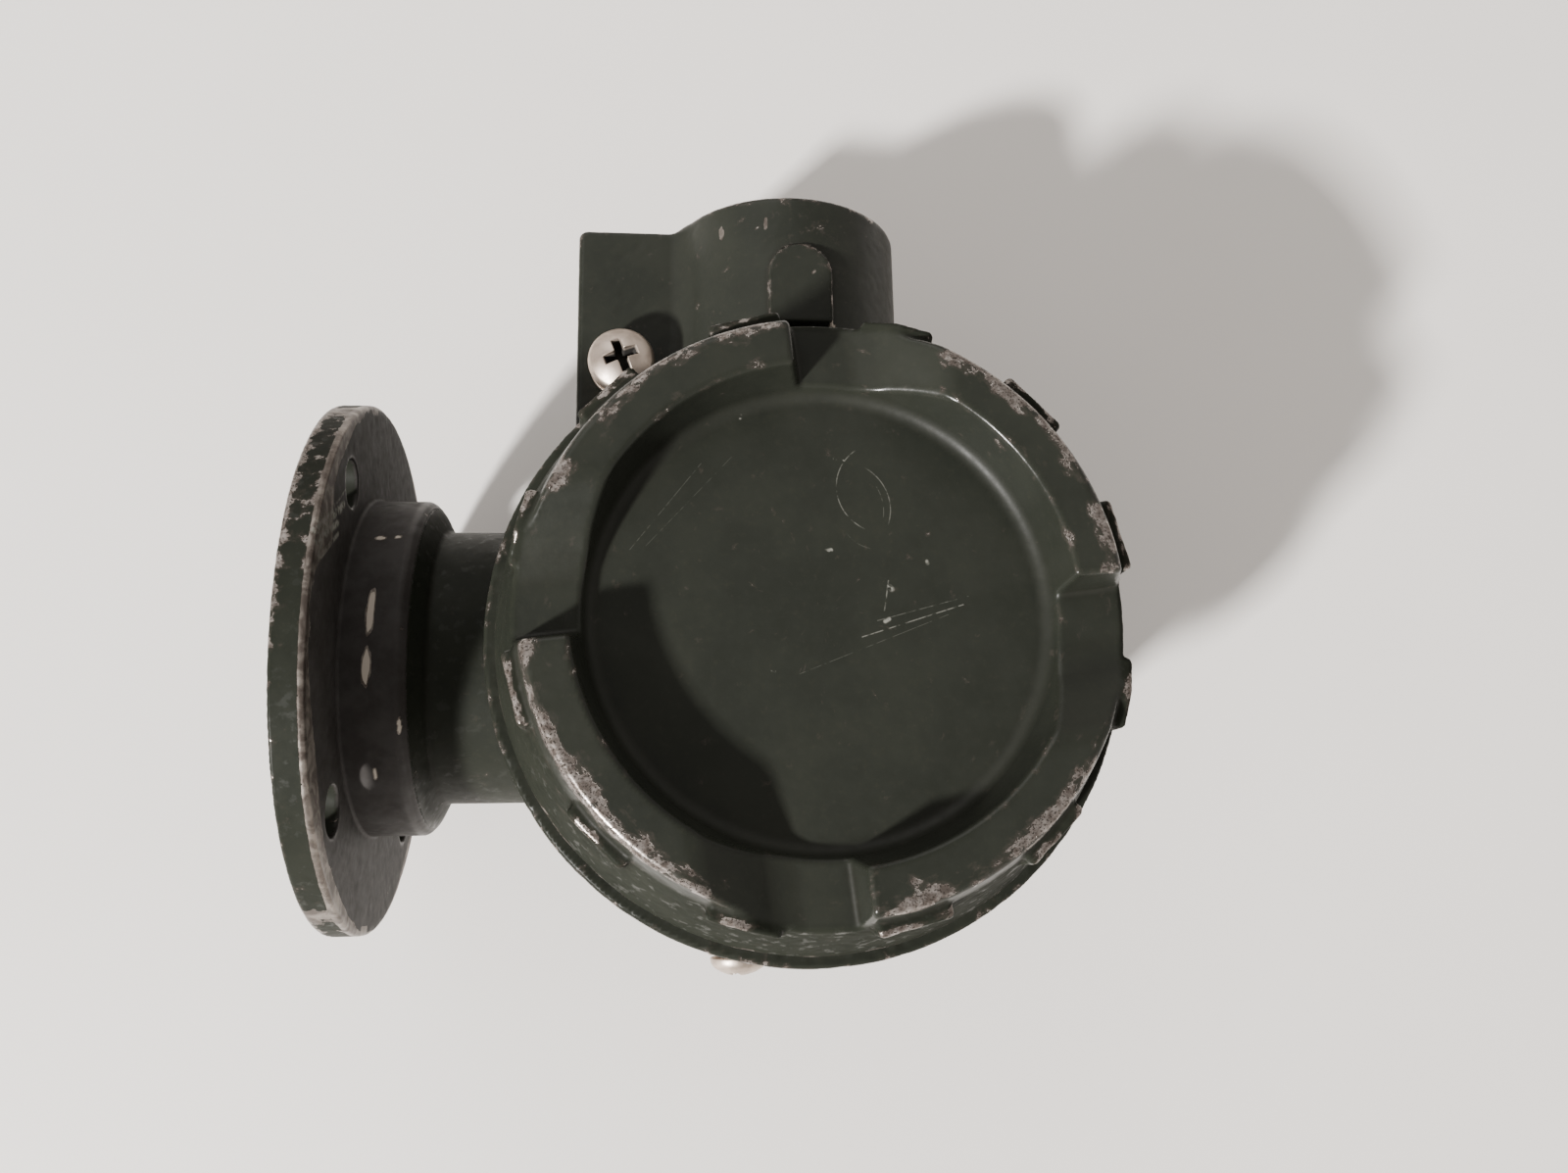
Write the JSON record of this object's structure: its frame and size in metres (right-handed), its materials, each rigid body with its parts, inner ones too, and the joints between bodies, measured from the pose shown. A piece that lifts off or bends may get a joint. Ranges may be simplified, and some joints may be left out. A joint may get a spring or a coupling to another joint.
{
  "type": "flanged scanner module",
  "caption": "Flanged cast scanner module with a notched screw-on front cap, conduit boss, earth screw, and a spinning prism and ranging optics inside.",
  "frame": {"origin": "centre of the mounting flange's outer face, on the neck's axis", "axes": "+X from the flange along the neck into the housing, +Y along the conduit boss, +Z along the front cap's axis, out of the cap"},
  "size_m": [0.1122, 0.117, 0.0895],
  "materials": {
    "olive_paint": "worn dark olive green semi-gloss paint on cast aluminium",
    "plated_steel": "bright plated steel",
    "rubber": "black nitrile rubber",
    "black_steel": "blackened steel",
    "coated_glass": "polished, coated optical glass",
    "black_anodised": "matt black anodised aluminium",
    "bearing_steel": "ground steel",
    "cage_bronze": "stamped bronze",
    "machined_aluminium": "machined aluminium",
    "magnet": "nickel plated magnet",
    "enamelled_copper": "enamelled copper wire",
    "brass": "plain brass",
    "circuit_board": "green solder mask",
    "black_plastic": "moulded black plastic",
    "terminal_plastic": "moulded green plastic"
  },
  "bodies": {
    "housing": {"housing_body": "olive_paint", "mounting_flange": "olive_paint", "flange_grub_screw_1": "black_steel", "flange_grub_screw_2": "black_steel", "window_gasket": "rubber", "window_glass": "coated_glass", "window_retainer": "black_anodised", "front_outer_race": "bearing_steel", "rear_outer_race": "bearing_steel", "outer_race_spacer": "machined_aluminium", "bearing_circlip": "black_steel", "stator_core": "bearing_steel", "stator_winding": "enamelled_copper", "optical_bench": "machined_aluminium", "lens_barrel": "black_anodised", "objective_lens": "coated_glass", "lens_retainer": "machined_aluminium", "laser_diode": "brass", "sensor_board": "circuit_board", "photodiode": "black_plastic", "encoder_reader": "circuit_board", "power_board": "circuit_board", "main_board": "circuit_board", "bench_spacer_1": "brass", "bench_spacer_2": "brass", "bench_spacer_3": "brass", "bench_spacer_4": "brass", "board_standoff_1": "brass", "board_standoff_2": "brass", "board_standoff_3": "brass", "board_standoff_4": "brass", "board_screw_1": "bearing_steel", "board_screw_2": "bearing_steel", "board_screw_3": "bearing_steel", "board_screw_4": "bearing_steel", "terminal_block": "terminal_plastic", "processor_chip": "black_plastic", "capacitor_1": "machined_aluminium", "capacitor_2": "machined_aluminium", "board_connector": "black_plastic", "dc_converter": "black_steel"},
    "seal": {"cap_o_ring": "rubber"},
    "cap": {"front_cap": "olive_paint"},
    "earth_washers": {"earth_flat_washer": "plated_steel", "earth_lock_washer": "plated_steel"},
    "earth_screw": {"earth_screw": "plated_steel"},
    "lower_washer": {"lower_screw_washer": "plated_steel"},
    "lower_screw": {"lower_screw": "plated_steel"},
    "rotor": {"rotor_sleeve": "black_anodised", "rotor_nut": "machined_aluminium", "wedge_prism": "coated_glass", "prism_retainer": "machined_aluminium", "rotor_magnet": "magnet", "encoder_disc": "bearing_steel", "front_inner_race": "bearing_steel", "rear_inner_race": "bearing_steel"},
    "front_cage": {"front_ball_cage": "cage_bronze"},
    "rear_cage": {"rear_ball_cage": "cage_bronze"}
  },
  "joints": [
    {"name": "cap_lift", "type": "slide", "parent": "housing", "child": "seal", "axis": [0, 0, 1], "range_m": [0, 0.012]},
    {"name": "cap_turn", "type": "hinge", "parent": "seal", "child": "cap", "pos_m": [0.0682, 0, 0.039], "axis": [0, 0, 1], "range_deg": [0, 2160]},
    {"name": "earth_lift", "type": "slide", "parent": "housing", "child": "earth_washers", "axis": [0, 0, 1], "range_m": [0, 0.0064]},
    {"name": "earth_turn", "type": "hinge", "parent": "earth_washers", "child": "earth_screw", "pos_m": [0.0415, 0.0464, 0.0108], "axis": [0, 0, 1], "range_deg": [0, 2880]},
    {"name": "lower_lift", "type": "slide", "parent": "housing", "child": "lower_washer", "axis": [0, -1, 0], "range_m": [0, 0.0042]},
    {"name": "lower_turn", "type": "hinge", "parent": "lower_washer", "child": "lower_screw", "pos_m": [0.0586, -0.0428, 0.0186], "axis": [0, -1, 0], "range_deg": [0, 2160]},
    {"name": "rotor_spin", "type": "hinge", "parent": "housing", "child": "rotor", "pos_m": [0.0151, 0, 0], "axis": [1, 0, 0], "continuous": true},
    {"name": "front_cage_spin", "type": "hinge", "parent": "housing", "child": "front_cage", "pos_m": [0.0129, 0, 0], "axis": [1, 0, 0], "continuous": true},
    {"name": "rear_cage_spin", "type": "hinge", "parent": "housing", "child": "rear_cage", "pos_m": [0.0251, 0, 0], "axis": [1, 0, 0], "continuous": true}
  ],
  "couplings": [
    {"joint": "cap_turn", "follows": "cap_lift", "rad_per_m": 3141.6},
    {"joint": "earth_turn", "follows": "earth_lift", "rad_per_m": 7854},
    {"joint": "lower_turn", "follows": "lower_lift", "rad_per_m": 8976},
    {"joint": "front_cage_spin", "follows": "rotor_spin", "ratio": 0.429},
    {"joint": "rear_cage_spin", "follows": "rotor_spin", "ratio": 0.429}
  ]
}
